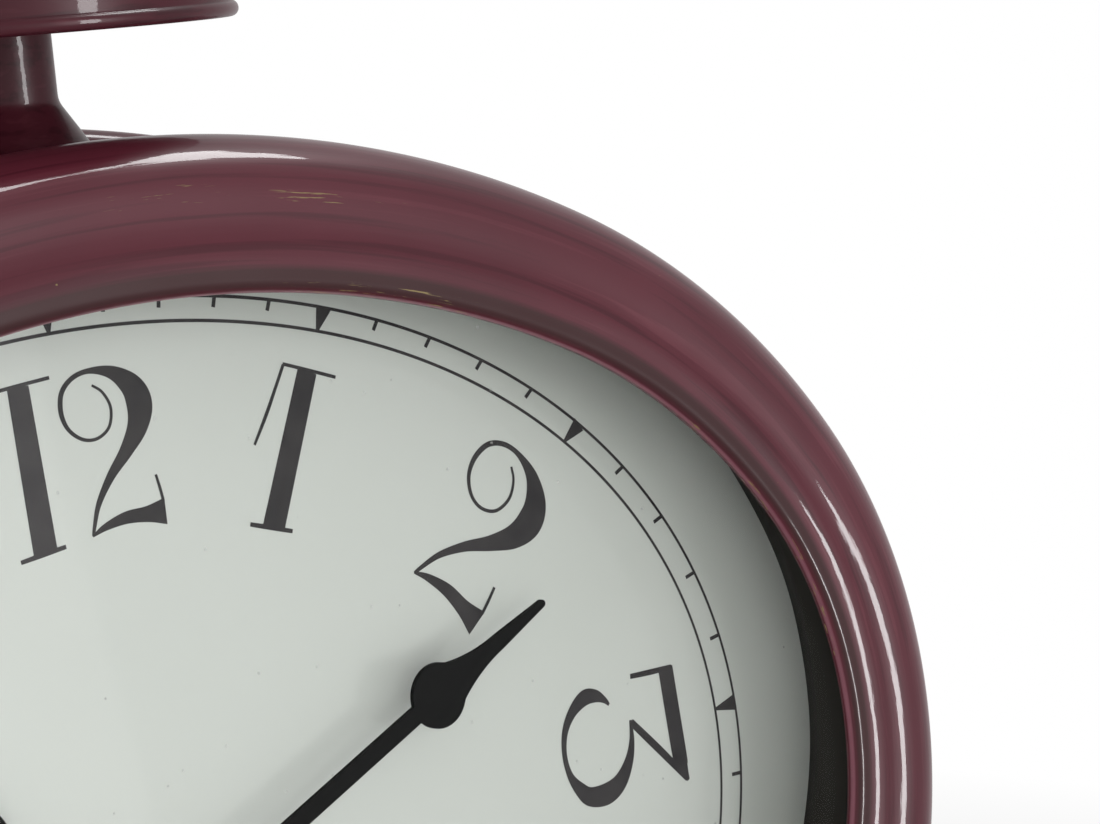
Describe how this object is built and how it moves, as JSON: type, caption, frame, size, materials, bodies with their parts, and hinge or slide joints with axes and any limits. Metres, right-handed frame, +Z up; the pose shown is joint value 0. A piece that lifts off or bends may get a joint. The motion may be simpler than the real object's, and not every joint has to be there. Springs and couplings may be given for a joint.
{
  "type": "oval table clock",
  "caption": "Oval enamelled table clock with a leaning glazed dial, turning hands, a round platform on a post above and a flared oval base.",
  "frame": {"origin": "on the table, under the middle of the base", "axes": "+Z up, +X to the viewer's right, the face towards -Y"},
  "size_m": [0.279, 0.0968, 0.2528],
  "materials": {
    "red_enamel": "glossy oven enamel, slightly wavy",
    "glass": "clear flat glass",
    "black_rubber": "matt",
    "black_paint": "satin black",
    "dial_paint": "matt off-white print ground",
    "cover_black": "satin black",
    "steel": "plated",
    "black_plastic": "moulded",
    "white_plastic": "moulded",
    "brass": "turned",
    "cell_wrap": "printed film",
    "board_green": "coated laminate",
    "copper": "enamelled winding"
  },
  "bodies": {
    "case": {"front_bezel": "red_enamel", "case_shell": "red_enamel", "rear_hoop": "red_enamel", "platform": "red_enamel", "platform_post": "red_enamel", "base_plinth": "red_enamel", "front_glass": "glass", "glass_seal": "black_rubber", "dial_spacer": "black_paint", "dial": "dial_paint", "back_cover": "cover_black", "cover_screws": "steel", "post_screw": "steel", "base_screws": "steel", "platform_screw": "steel", "post_saddle": "steel", "base_saddle": "steel", "base_plate": "cover_black", "foot_pads": "black_rubber", "movement_housing": "black_plastic", "movement_cover": "black_plastic", "rubber_washer": "black_rubber", "nut_washer": "brass", "bush_nut": "brass", "cell": "cell_wrap", "cell_contacts": "steel", "circuit_board": "board_green", "stator": "steel", "motor_coil": "copper"},
    "minute": {"minute_hand": "black_paint", "centre_wheel": "brass", "hand_nut": "black_paint"},
    "hour": {"hour_hand": "black_paint", "hour_wheel": "white_plastic"},
    "motion": {"motion_wheel": "white_plastic"},
    "setting": {"setting_knob": "black_plastic"}
  },
  "joints": [
    {"name": "minute_turn", "type": "hinge", "parent": "case", "child": "minute", "pos_m": [0, 0, 0.121], "axis": [0, -0.9903, 0.1392], "continuous": true},
    {"name": "hour_turn", "type": "hinge", "parent": "case", "child": "hour", "pos_m": [0, 0, 0.121], "axis": [0, -0.9903, 0.1392], "continuous": true},
    {"name": "motion_turn", "type": "hinge", "parent": "case", "child": "motion", "pos_m": [0.008, 0, 0.121], "axis": [0, -0.9903, 0.1392], "continuous": true},
    {"name": "setting_turn", "type": "hinge", "parent": "case", "child": "setting", "pos_m": [0.016, 0, 0.121], "axis": [0, -0.9903, 0.1392], "continuous": true}
  ],
  "couplings": [
    {"joint": "hour_turn", "follows": "minute_turn", "ratio": 0.083333},
    {"joint": "motion_turn", "follows": "minute_turn", "ratio": -0.33333},
    {"joint": "setting_turn", "follows": "minute_turn", "ratio": 1}
  ]
}
